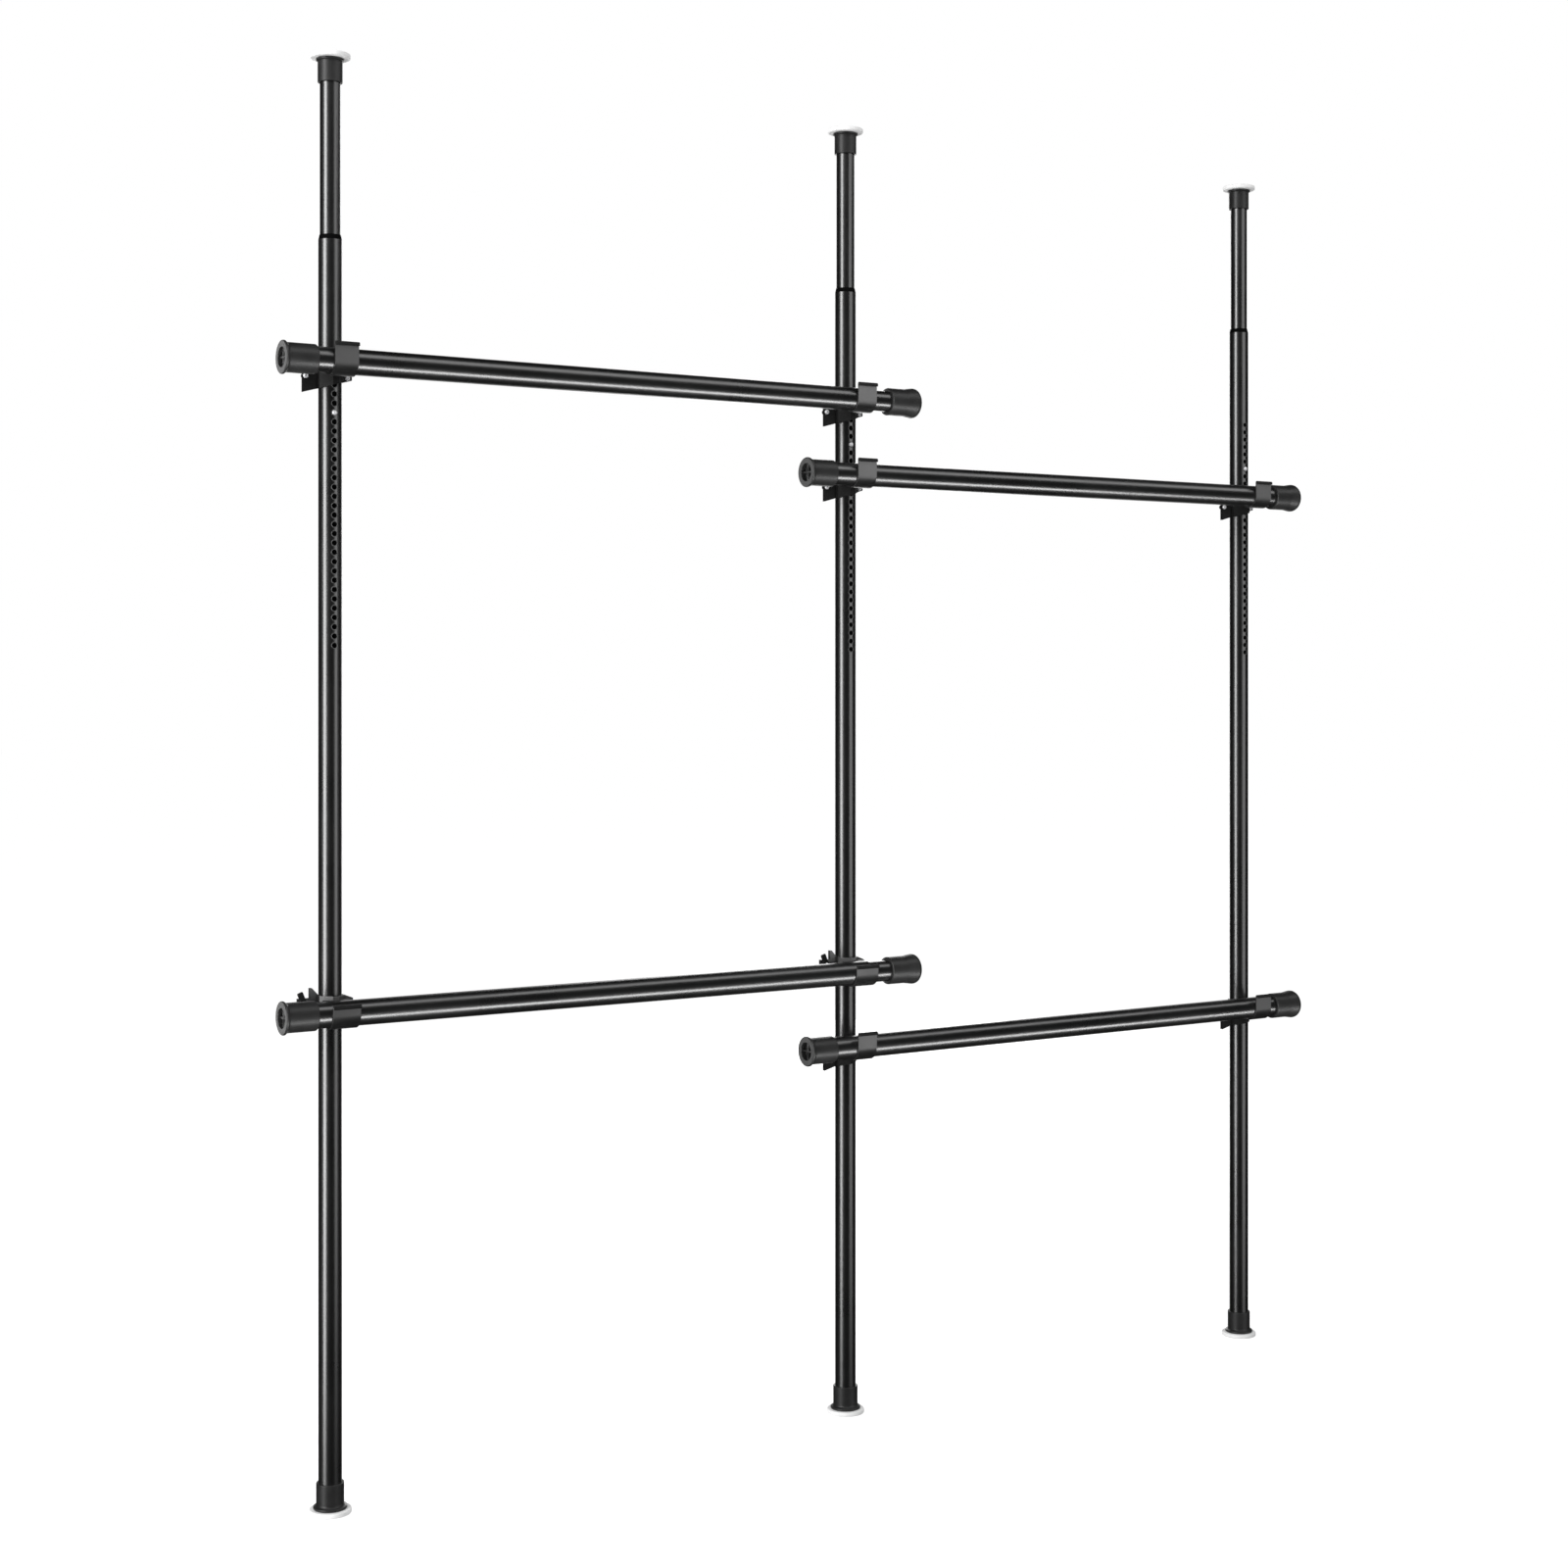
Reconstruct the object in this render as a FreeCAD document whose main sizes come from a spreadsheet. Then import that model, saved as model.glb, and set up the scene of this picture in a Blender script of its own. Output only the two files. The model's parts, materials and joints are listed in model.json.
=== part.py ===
"""Open frame wardrobe: three telescopic uprights between floor and ceiling, with four telescopic
hanging rails that lie in clamped hooks on the front. Millimetres. X runs along the rails, -Y is the
front and Z is up. The origin is on the floor, on the axis of the middle upright."""

import FreeCAD, Part
import os
import Sketcher

SIDES = ("left", "mid", "right")
# each rail: its name, the uprights that carry it, and whether its clamp plates stand over the rail
RAILS = (
    ("upper_left", "left", "mid", False),
    ("lower_left", "left", "mid", True),
    ("upper_right", "mid", "right", False),
    ("lower_right", "mid", "right", False),
)

SIZES = {
    # frame
    "left_bay": 1000,
    "right_bay": 970,
    "top_height": 2349,
    # lower tubes and their column of holes
    "lower_diameter": 38,
    "lower_wall": 1.2,
    "upper_reveal": 293,
    "hole_diameter": 9,
    "hole_pitch": 15,
    "hole_count": 32,
    "top_hole_drop": 190,
    "button_hole": 7,
    # upper tubes
    "telescope_play": 1.3,
    "upper_wall": 1.2,
    "tail_length": 40,
    # bush in the mouth of the lower tube
    "collar_height": 8,
    "collar_mouth_wall": 0.6,
    "collar_spigot": 25,
    "slide_gap": 0.15,
    # caps and pads of the uprights
    "cap_floor": 4,
    "edge_break": 1,
    "pad_thickness": 8,
    "pad_round": 2.5,
    "floor_pad_margin": 7.25,
    "foot_sleeve_wall": 3.5,
    "foot_flange_lip": 4.75,
    "foot_flange_thickness": 4,
    "foot_cap_height": 42,
    "ceiling_pad_margin": 10,
    "head_sleeve_wall": 3.5,
    "head_flange_lip": 2.5,
    "head_flange_thickness": 3.5,
    "head_cap_height": 39,
    # snap button and its leaf spring
    "button_diameter": 8,
    "button_gap": 0.3,
    "button_stand": 3.5,
    "dome_height": 2,
    "button_base_diameter": 11,
    "button_base_thickness": 1.5,
    "leaf_width": 8,
    "leaf_thickness": 0.8,
    "leaf_top": 5,
    "leaf_leg": 25,
    # rails
    "rail_diameter": 42,
    "rail_wall": 1.7,
    "rail_play": 0.3,
    "inner_wall": 1.2,
    "inner_length": 430,
    "left_overhang": 110,
    "right_overhang": 113,
    "left_bay_shift": 9,
    "right_bay_shift": -8,
    "outer_past_upright": 12,
    "upper_left_drop": 201,
    "lower_left_height": 812,
    "upper_right_drop": 338,
    "lower_right_height": 678,
    # rail caps: the short ones of the outer tubes, then the long ones of the inner tubes
    "rail_cap_length": 56,
    "rail_cap_wall": 3,
    "rail_flange_lip": 3,
    "rail_flange_thickness": 6.5,
    "rail_flange_round": 2,
    "rail_cap_chamfer": 2,
    "inner_cap_length": 65,
    "inner_cap_wall": 5.5,
    "inner_flange_lip": 3,
    "inner_flange_thickness": 16,
    "inner_flange_round": 9,
    "inner_cap_chamfer": 3,
    "recess_margin": 3,
    "recess_depth": 10,
    "recess_rib": 3,
    "rib_below_mouth": 3,
    "rail_seat": 16,
    # clamp plates
    "sheet": 2.5,
    "clamp_gap": 1.5,
    "tube_gap": 0.3,
    "button_room": 4.2,
    "left_ear_margin": 4.5,
    "right_ear_margin": 8,
    "plate_top": 10,
    "left_drop": 47,
    "right_drop": 24,
    "left_bolt_reach": 21.2,
    "right_bolt_reach": 6.2,
    "bolt_drop": 20.5,
    # clamp plates that stand over the rail
    "over_ear_margin": 8,
    "over_foot": 8,
    "over_shoulder": 22,
    "over_gusset_reach": 14.2,
    "over_gusset_top": 38,
    "over_gusset_tip": 4,
    "over_saddle_margin": 0.7,
    "over_saddle_top": 25,
    "over_right_top": 18,
    "over_left_bolt_reach": 26.2,
    "over_right_bolt_reach": 8.2,
    "over_bolt_rise": 15,
    "over_right_bolt_rise": 10,
    # hook straps
    "hook_width": 40,
    "over_hook_width": 47,
    "rail_gap": 0.3,
    "lip_radius": 0.75,
    "lip_drop": 3,
    "front_leg": 25.75,
    "over_front_leg": 13,
    "back_leg": 10,
    "over_back_leg": 20,
    # bolts and nuts
    "bolt_diameter": 5,
    "bolt_gap": 0.25,
    "thread_gap": 0.1,
    "bolt_head_diameter": 9,
    "bolt_head_height": 3.5,
    "bolt_past_nut": 2,
    "hub_diameter": 12,
    "hub_height": 8,
    "wing_length": 38,
    "wing_width": 9.5,
    "wing_thickness": 4.5,
    "wing_corner": 1.5,
    "hex_flats": 8,
    "hex_height": 4,
}
WING_LEAN = 22
ROOT_TWO = "sqrt(2)"
ROOT_THREE = "sqrt(3)"

# sizes that follow from the driving ones
DERIVED = {
    "lower_top": "top_height - upper_reveal",
    "top_hole_height": "lower_top - top_hole_drop",
    "upper_left_height": "lower_top - upper_left_drop",
    "upper_right_height": "lower_top - upper_right_drop",
    "lower_bore": "lower_diameter - 2 * lower_wall",
    "upper_diameter": "lower_bore - 2 * telescope_play",
    "upper_bore": "upper_diameter - 2 * upper_wall",
    "foot_sleeve_diameter": "lower_diameter + 2 * foot_sleeve_wall",
    "foot_flange_diameter": "foot_sleeve_diameter + 2 * foot_flange_lip",
    "floor_pad_diameter": "foot_flange_diameter + 2 * floor_pad_margin",
    "head_sleeve_diameter": "upper_diameter + 2 * head_sleeve_wall",
    "head_flange_diameter": "head_sleeve_diameter + 2 * head_flange_lip",
    "ceiling_pad_diameter": "head_flange_diameter + 2 * ceiling_pad_margin",
    "lower_foot": "pad_thickness + cap_floor",
    "upper_top": "top_height - cap_floor",
    "button_height": "top_hole_height - (button_hole - 1) * hole_pitch",
    "upper_foot": "button_height - tail_length",
    "button_tip": "lower_diameter / 2 + button_stand",
    "dome_radius": "(button_diameter ^ 2 / 4 + dome_height ^ 2) / (2 * dome_height)",
    "button_shoulder": "sqrt((upper_bore ^ 2 - button_base_diameter ^ 2) / 4) - button_gap",
    "leaf_front": "button_shoulder - button_base_thickness",
    "leaf_rear": "sqrt((upper_bore ^ 2 - leaf_width ^ 2) / 4) - button_gap",
    "rail_bore": "rail_diameter - 2 * rail_wall",
    "inner_diameter": "rail_bore - 2 * rail_play",
    "inner_bore": "inner_diameter - 2 * inner_wall",
    "rail_cap_diameter": "rail_diameter + 2 * rail_cap_wall",
    "rail_flange_diameter": "rail_cap_diameter + 2 * rail_flange_lip",
    "inner_cap_diameter": "inner_diameter + 2 * inner_cap_wall",
    "inner_flange_diameter": "inner_cap_diameter + 2 * inner_flange_lip",
    "recess_diameter": "inner_diameter - 2 * recess_margin",
    "clamp_bore": "lower_diameter / 2 + tube_gap",
    "left_bolt": "clamp_bore + sheet + left_bolt_reach",
    "right_bolt": "clamp_bore + sheet + right_bolt_reach",
    "left_ear": "left_bolt + left_ear_margin",
    "right_ear": "right_bolt + right_ear_margin",
    "over_left_bolt": "clamp_bore + sheet + over_left_bolt_reach",
    "over_right_bolt": "clamp_bore + sheet + over_right_bolt_reach",
    "over_left_ear": "over_left_bolt + over_ear_margin",
    "over_right_ear": "over_right_bolt + over_ear_margin",
    "over_gusset": "clamp_bore + sheet + over_gusset_reach",
    "over_saddle": "clamp_bore + over_saddle_margin",
    "ear_face": "clamp_gap / 2 + sheet",
    "web_inner": "lower_diameter / 2 + button_room",
    "web_outer": "web_inner + sheet",
    "web_half": f"clamp_bore * {ROOT_TWO} - web_inner",
    "web_half_outer": f"web_half + sheet * ({ROOT_TWO} - 1)",
    "kink": f"clamp_bore * ({ROOT_TWO} - 1)",
    "kink_outer": f"(clamp_bore + sheet) * ({ROOT_TWO} - 1)",
    "hook_inner": "rail_diameter / 2 + rail_gap",
    "hook_outer": "hook_inner + sheet",
    "rail_offset": "web_outer + hook_outer",
    "lip_centre": "rail_offset + hook_outer + lip_radius",
    "lip_front": "lip_centre + lip_radius + sheet",
    "bolt_length": "2 * ear_face + hub_height + bolt_past_nut",
    "bolt_hole": "bolt_diameter + 2 * bolt_gap",
    "nut_bore": "bolt_diameter + 2 * thread_gap",
}

doc = FreeCAD.newDocument("open_frame_wardrobe")
sheet = doc.addObject("Spreadsheet::Sheet", "Sizes")
for row, (alias, size) in enumerate(SIZES.items(), 1):
    sheet.set(f"A{row}", alias)
    sheet.set(f"B{row}", str(size))
    sheet.setAlias(f"B{row}", alias)
for row, (alias, formula) in enumerate(DERIVED.items(), len(SIZES) + 1):
    sheet.set(f"A{row}", alias)
    sheet.set(f"B{row}", f"={formula}")
    sheet.setAlias(f"B{row}", alias)
doc.recompute()

NAMES = {*SIZES, *DERIVED}
parts = []


def cells(formula):
    """A formula in plain size names, as an expression on the sheet's cells."""
    words = []
    word = ""
    for letter in f"{formula} ":
        if letter.isalnum() or letter == "_":
            word += letter
            continue
        words.append(f"Sizes.{word}" if word in NAMES else word)
        words.append(letter)
        word = ""
    return "".join(words).strip()


def number(formula):
    """The value of a formula now."""
    return float(sheet.evalExpression(cells(formula)))


def bind(item, **formulas):
    """Tie properties of an object to formulas. A double underscore stands for a dot."""
    for name, formula in formulas.items():
        item.setExpression(name.replace("__", "."), cells(formula))
    return item


def new_body(name):
    body = doc.addObject("PartDesign::Body", name)
    body.Label = name
    return body


def sketch_on(body, role, name):
    """An empty sketch on one of the body's own origin planes."""
    sketch = body.newObject("Sketcher::SketchObject", name)
    plane = next(feature for feature in body.Origin.OriginFeatures if feature.Role == role)
    sketch.AttachmentSupport = (plane, [""])
    sketch.MapMode = "FlatFace"
    return sketch


def outline(body, role, name, points):
    """A closed outline with every corner tied to the sheet. A point (u, v) starts a line to the next point,
    and (u, v, (cu, cv), turn) starts an arc about cu, cv, with turn +1 counter-clockwise and -1 clockwise."""
    sketch = sketch_on(body, role, name)
    places = [FreeCAD.Vector(number(point[0]), number(point[1]), 0) for point in points]
    ends = []
    for index, point in enumerate(points):
        start, stop = places[index], places[(index + 1) % len(points)]
        if len(point) == 2:
            sketch.addGeometry(Part.LineSegment(start, stop), False)
            ends.append((1, 2))
            continue
        centre = FreeCAD.Vector(number(point[2][0]), number(point[2][1]), 0)
        first, last = (start, stop) if point[3] > 0 else (stop, start)
        up = FreeCAD.Vector(0, 0, 1)
        circle = Part.Circle(centre, up, (start - centre).Length)
        sketch.addGeometry(Part.ArcOfCircle(circle, circle.parameter(first), circle.parameter(last)), False)
        ends.append((1, 2) if point[3] > 0 else (2, 1))
    for index, point in enumerate(points):
        following = (index + 1) % len(points)
        sketch.addConstraint(Sketcher.Constraint(
            "Coincident", index, ends[index][1], following, ends[following][0]))
        for kind, place, formula in zip(("DistanceX", "DistanceY"), places[index], point):
            tie(sketch, kind, index, ends[index][0], place, formula)
        if len(point) > 2:
            chord = places[following] - places[index]
            axis = 0 if abs(chord.y) > abs(chord.x) else 1
            formula = point[2][axis]
            tie(sketch, ("DistanceX", "DistanceY")[axis], index, 3, number(formula), formula)
    return sketch


def tie(sketch, kind, index, end, place, formula):
    """Tie one coordinate of a point of a sketch, counted from the origin, to the sheet."""
    constraint = sketch.addConstraint(Sketcher.Constraint(kind, -1, 1, index, end, place))
    sketch.setExpression(f"Constraints[{constraint}]", cells(formula))


def turned(name, points):
    """A body of revolution about Z, from an outline of radii and heights."""
    body = new_body(name)
    spin = body.newObject("PartDesign::Revolution", f"{name}_turn")
    spin.Profile = outline(body, "XZ_Plane", f"{name}_outline", points)
    spin.ReferenceAxis = (spin.Profile[0], ["V_Axis"])
    spin.Angle = 360
    return body


def padded(name, role, points, length, both_ways=False):
    """A body padded from an outline, along its plane's normal or to both sides of the plane."""
    body = new_body(name)
    pad = body.newObject("PartDesign::Pad", f"{name}_pad")
    pad.Profile = outline(body, role, f"{name}_outline", points)
    pad.Midplane = both_ways
    return body, bind(pad, Length=length)


def pipe(name, outer, bore, low, high):
    """A round tube along Z."""
    return turned(name, [
        (f"{bore} / 2", low), (f"{outer} / 2", low), (f"{outer} / 2", high), (f"{bore} / 2", high)])


def front_hole(body, diameter, height):
    """A round hole through the front wall of a tube."""
    doc.recompute()
    sketch = sketch_on(body, "XZ_Plane", f"{body.Name}_hole_sketch")
    sketch.addGeometry(Part.Circle(FreeCAD.Vector(0, number(height), 0), FreeCAD.Vector(0, 0, 1),
                                   number(diameter) / 2), False)
    sketch.addConstraint(Sketcher.Constraint("PointOnObject", 0, 3, -2))
    tie(sketch, "DistanceY", 0, 3, number(height), height)
    constraint = sketch.addConstraint(Sketcher.Constraint("Diameter", 0, number(diameter)))
    sketch.setExpression(f"Constraints[{constraint}]", cells(diameter))
    hole = body.newObject("PartDesign::Pocket", f"{body.Name}_hole")
    hole.Profile = sketch
    hole.Reversed = True
    return bind(hole, Length="lower_diameter")


def round_rod(name, diameter, length, turn=None, **base):
    """A Part cylinder along Z, or turned by the given rotation."""
    rod = doc.addObject("Part::Cylinder", name)
    if turn:
        rod.Placement.Rotation = turn
    return bind(rod, Radius=f"{diameter} / 2", Height=length, **base)


def joined(kind, name, base, tool):
    result = doc.addObject(kind, name)
    result.Base = base
    result.Tool = tool
    return result


def placed(label, master, turn=None, x="0", y="0", z="0"):
    """A copy of a master piece in its place on the wardrobe."""
    link = doc.addObject("App::Link", label)
    link.Label = label
    link.LinkedObject = master
    link.LinkTransform = False
    if turn:
        link.Placement = FreeCAD.Placement(FreeCAD.Vector(), turn)
    bind(link, Placement__Base__x=x, Placement__Base__y=y, Placement__Base__z=z)
    return link


def group(label, links):
    compound = doc.addObject("Part::Compound", label)
    compound.Label = label
    compound.Links = links
    return compound


def about(axis, angle):
    return FreeCAD.Rotation(FreeCAD.Vector(*axis), angle)


ALONG_X = about((0, 1, 0), 90)
AGAINST_X = about((0, 1, 0), -90)
TO_FRONT = about((1, 0, 0), 90)
TO_REAR = about((1, 0, 0), -90)
UPRIGHT_X = {"left": "-left_bay", "mid": "0", "right": "right_bay"}


def pad_disc(name, diameter):
    """A felt-soft disc with a rounded rim."""
    radius = f"{diameter} / 2"
    inner = f"{diameter} / 2 - pad_round"
    upper = "pad_thickness - pad_round"
    return turned(name, [
        ("0", "0"), (inner, "0", (inner, "pad_round"), 1), (radius, "pad_round"),
        (radius, upper, (inner, upper), 1), (inner, "pad_thickness"), ("0", "pad_thickness")])


def tube_cap(end, tube):
    """A cap with its flange down: floor, tapered skirt and sleeve round the end of a tube."""
    rim, sleeve = f"{end}_flange_diameter / 2", f"{end}_sleeve_diameter / 2"
    thickness, height = f"{end}_flange_thickness", f"{end}_cap_height"
    return turned(f"{end}_cap", [
        ("0", "0"), (f"{rim} - edge_break", "0"), (rim, "edge_break"), (rim, f"{thickness} - edge_break"),
        (f"{rim} - edge_break", thickness), (sleeve, f"{thickness} + ({rim} - {sleeve}) / 2"),
        (sleeve, f"{height} - edge_break"), (f"{sleeve} - edge_break", height),
        (f"{tube} / 2", height), (f"{tube} / 2", "cap_floor"), ("0", "cap_floor")])


def collar_bush():
    """The tapered bush in the mouth of the lower tube. Height zero is the top of the tube."""
    bore = "upper_diameter / 2 + slide_gap"
    return turned("collar", [
        (bore, "-collar_spigot"), ("lower_bore / 2", "-collar_spigot"), ("lower_bore / 2", "0"),
        ("lower_diameter / 2", "0"), (f"{bore} + collar_mouth_wall", "collar_height"),
        (bore, "collar_height")])


def lower_tube():
    body = pipe("lower_tube", "lower_diameter", "lower_bore", "lower_foot", "lower_top")
    hole = front_hole(body, "hole_diameter", "top_hole_height")
    column = body.newObject("PartDesign::LinearPattern", "hole_column")
    column.Originals = [hole]
    column.Direction = (hole.Profile[0], ["V_Axis"])
    column.Reversed = True
    bind(column, Length="hole_pitch * (hole_count - 1)", Occurrences="hole_count")
    body.Tip = column
    return body


def upper_tube():
    body = pipe("upper_tube", "upper_diameter", "upper_bore", "upper_foot", "upper_top")
    front_hole(body, "button_diameter + 2 * button_gap", "button_height")
    return body


def snap_button():
    """The domed button, along Z from the axis of the upright."""
    shaft = "button_diameter / 2"
    base = "button_base_diameter / 2"
    dome_foot = "button_tip - dome_height"
    return turned("snap_button", [
        ("0", "leaf_front"), (base, "leaf_front"), (base, "button_shoulder"), (shaft, "button_shoulder"),
        (shaft, dome_foot, ("0", "button_tip - dome_radius"), 1), ("0", "button_tip")])


def snap_spring():
    """A leaf bent to a U: its front leg bears on the button, its rear leg on the back of the tube."""
    middle = "(leaf_rear - leaf_front) / 2"
    return padded("snap_spring", "YZ_Plane", [
        ("-leaf_front", "leaf_top"), ("-leaf_front", "-leaf_leg", (middle, "-leaf_leg"), 1),
        ("leaf_rear", "-leaf_leg"), ("leaf_rear", "leaf_top"), ("leaf_rear - leaf_thickness", "leaf_top"),
        ("leaf_rear - leaf_thickness", "-leaf_leg", (middle, "-leaf_leg"), -1),
        ("-leaf_front + leaf_thickness", "-leaf_leg"), ("-leaf_front + leaf_thickness", "leaf_top")],
        "leaf_width", True)[0]


def rail_cap(kind, tube):
    """A rail's end cap along Z from its outer face: flange, step, sleeve, and a ribbed recess in the face."""
    name = f"{kind}_end_cap"
    length, chamfer = f"{kind}_cap_length", f"{kind}_cap_chamfer"
    thickness, near = f"{kind}_flange_thickness", f"{kind}_flange_round"
    rim, sleeve = f"{kind}_flange_diameter / 2", f"{kind}_cap_diameter / 2"
    inside = f"{rim} - {near}"
    body = turned(name, [
        ("0", "recess_depth"), ("recess_diameter / 2", "recess_depth"), ("recess_diameter / 2", "0"),
        (inside, "0", (inside, near), 1), (rim, near), (rim, f"{thickness} - ({rim} - ({sleeve}))"),
        (sleeve, thickness), (sleeve, f"{length} - {chamfer}"), (f"{sleeve} - {chamfer}", length),
        (f"{tube} / 2", length), (f"{tube} / 2", "rail_seat"), ("0", "rail_seat")])
    doc.recompute()
    arm, half = "recess_diameter / 2", "recess_rib / 2"
    cross = outline(body, "XY_Plane", f"{name}_cross", [
        (half, half), (half, arm), (f"-{half}", arm), (f"-{half}", half), (f"-{arm}", half),
        (f"-{arm}", f"-{half}"), (f"-{half}", f"-{half}"), (f"-{half}", f"-{arm}"), (half, f"-{arm}"),
        (half, f"-{half}"), (arm, f"-{half}"), (arm, half)])
    bind(cross, AttachmentOffset__Base__z="rib_below_mouth")
    ribs = body.newObject("PartDesign::Pad", f"{name}_ribs")
    ribs.Profile = cross
    bind(ribs, Length="recess_depth - rib_below_mouth")
    return body


def plate_plan(name, front, left, right, low, high):
    """A clamp half in plan, padded up: two ears, and a folded saddle that leaves room for the snap button."""
    def y(formula):
        return f"-({formula})" if front else formula
    corners = [
        (f"-{left}", "clamp_gap / 2"), ("-clamp_bore", "clamp_gap / 2"), ("-clamp_bore", "kink"),
        ("-web_half", "web_inner"), ("web_half", "web_inner"), ("clamp_bore", "kink"),
        ("clamp_bore", "clamp_gap / 2"), (right, "clamp_gap / 2"), (right, "ear_face"),
        ("clamp_bore + sheet", "ear_face"), ("clamp_bore + sheet", "kink_outer"),
        ("web_half_outer", "web_outer"), ("-web_half_outer", "web_outer"),
        ("-clamp_bore - sheet", "kink_outer"), ("-clamp_bore - sheet", "ear_face"), (f"-{left}", "ear_face")]
    body, pad = padded(name, "XY_Plane", [(x, y(depth)) for x, depth in corners], f"{high} + {low}")
    bind(pad.Profile[0], AttachmentOffset__Base__z=f"-({low})")
    return body


def clamp_half(name, front, over):
    """One clamp plate: its folded plan cut to its outline as seen from the front, with two bolt holes."""
    if over:
        left, right, low, high = "over_left_ear", "over_right_ear", "over_foot", "over_gusset_top"
        edge = [
            (f"-{left}", "-over_foot"), (right, "-over_foot"), (right, "over_right_top"),
            ("over_saddle", "over_saddle_top"), ("-over_saddle", "over_saddle_top"),
            ("over_gusset_tip - over_gusset", "over_gusset_top"), ("-over_gusset", "over_gusset_top"),
            ("-over_gusset", "over_shoulder"), (f"-{left}", "over_shoulder")]
        bolts = (("-over_left_bolt", "over_bolt_rise"), ("over_right_bolt", "over_right_bolt_rise"))
    else:
        left, right, low, high = "left_ear", "right_ear", "left_drop", "plate_top"
        edge = [
            (f"-{left}", "-left_drop"), (right, "-right_drop"), (right, "plate_top"),
            (f"-{left}", "plate_top")]
        bolts = (("-left_bolt", "-bolt_drop"), ("right_bolt", "-bolt_drop"))
    plan = plate_plan(f"{name}_plan", front, left, right, low, high)
    face, _ = padded(f"{name}_face", "XZ_Plane", edge, "4 * web_outer", True)
    plate = joined("Part::Common", f"{name}_sheet", plan, face)
    for side, (x, z) in zip(("left", "right"), bolts):
        drill = round_rod(f"{name}_{side}_drill", "bolt_hole", "2 * web_outer", TO_REAR,
                          Placement__Base__x=x, Placement__Base__y="-web_outer", Placement__Base__z=z)
        plate = joined("Part::Cut", f"{name}_{side}_bored", plate, drill)
    return plate


def hook_plate(name, over):
    """The front clamp plate with the strap that is welded to its web: a back leg, a half round under the
    rail and a front leg whose edge is folded outwards and down to a hem."""
    width, front, back = ("over_hook_width", "over_front_leg", "over_back_leg") if over else (
        "hook_width", "front_leg", "back_leg")
    axis, tip = ("-rail_offset", "0"), ("-lip_centre", front)
    strap, _ = padded(f"{name}_strap", "YZ_Plane", [
        ("hook_inner - rail_offset", back), ("hook_inner - rail_offset", "0", axis, -1),
        ("-hook_inner - rail_offset", "0"), ("-hook_inner - rail_offset", front, tip, 1),
        ("-lip_front", front), ("-lip_front", f"{front} - lip_drop"),
        ("-lip_centre - lip_radius", f"{front} - lip_drop"), ("-lip_centre - lip_radius", front, tip, -1),
        ("-hook_outer - rail_offset", front), ("-hook_outer - rail_offset", "0", axis, 1),
        ("hook_outer - rail_offset", "0"), ("hook_outer - rail_offset", back)], width, True)
    return joined("Part::Fuse", name, clamp_half(f"{name}_clamp", True, over), strap)


def clamp_bolt():
    """A domed bolt along Z: its head lies under zero and its shank runs up."""
    rim = "bolt_head_diameter / 2"
    edge = f"bolt_head_height - {rim} / 2"
    return turned("clamp_bolt", [
        ("0", "-bolt_head_height"), (f"{rim} / 2", "-bolt_head_height"), (rim, f"-({edge})"), (rim, "0"),
        ("bolt_diameter / 2", "0"), ("bolt_diameter / 2", "bolt_length"), ("0", "bolt_length")])


def thumb_nut():
    """A nut with two flat wings along X, on a hub along Z."""
    reach, side = "wing_length / 2", "wing_width / 2"
    short, low = f"({reach} - wing_corner)", f"({side} - wing_corner)"
    wings, pad = padded("thumb_wings", "XY_Plane", [
        (f"-{short}", f"-{side}"), (short, f"-{side}"), (reach, f"-{low}"), (reach, low), (short, side),
        (f"-{short}", side), (f"-{reach}", low), (f"-{reach}", f"-{low}")], "wing_thickness")
    bind(pad.Profile[0], AttachmentOffset__Base__z="hub_height - wing_thickness")
    hub = round_rod("thumb_hub", "hub_diameter", "hub_height")
    bore = round_rod("thumb_bore", "nut_bore", "hub_height")
    return joined("Part::Cut", "thumb_nut", joined("Part::Fuse", "thumb_solid", wings, hub), bore)


def hexagon_nut():
    half, corner = "hex_flats / 2", f"hex_flats / {ROOT_THREE}"
    solid, _ = padded("hexagon", "XY_Plane", [
        (corner, "0"), (f"{corner} / 2", half), (f"-({corner}) / 2", half), (f"-({corner})", "0"),
        (f"-({corner}) / 2", f"-{half}"), (f"{corner} / 2", f"-{half}")], "hex_height")
    return joined("Part::Cut", "hexagon_nut", solid, round_rod("hexagon_bore", "nut_bore", "hex_height"))


def uprights():
    """The three uprights, from floor pad to ceiling pad."""
    masters = {
        "lower_tube": lower_tube(),
        "foot_cap": tube_cap("foot", "lower_diameter"),
        "upper_tube": upper_tube(),
        "head_cap": tube_cap("head", "upper_diameter"),
        "ceiling_pad": pad_disc("ceiling_pad", "ceiling_pad_diameter"),
        "snap_button": snap_button(),
        "snap_spring": snap_spring(),
    }
    heights = {"foot_cap": "pad_thickness", "head_cap": "top_height", "ceiling_pad": "top_height",
               "snap_button": "button_height", "snap_spring": "button_height"}
    turns = {"head_cap": about((1, 0, 0), 180), "snap_button": TO_FRONT}
    for side in SIDES:
        for kind, master in masters.items():
            parts.append(placed(f"{kind}_{side}", master, turns.get(kind), UPRIGHT_X[side],
                                z=heights.get(kind, "0")))
    floor_pad = pad_disc("floor_pad", "floor_pad_diameter")
    parts.append(group("floor_pads", [
        placed(f"floor_pad_{side}", floor_pad, x=UPRIGHT_X[side]) for side in SIDES]))
    collar = collar_bush()
    parts.append(group("tube_collars", [
        placed(f"collar_{side}", collar, x=UPRIGHT_X[side], z="lower_top") for side in SIDES]))


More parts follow.
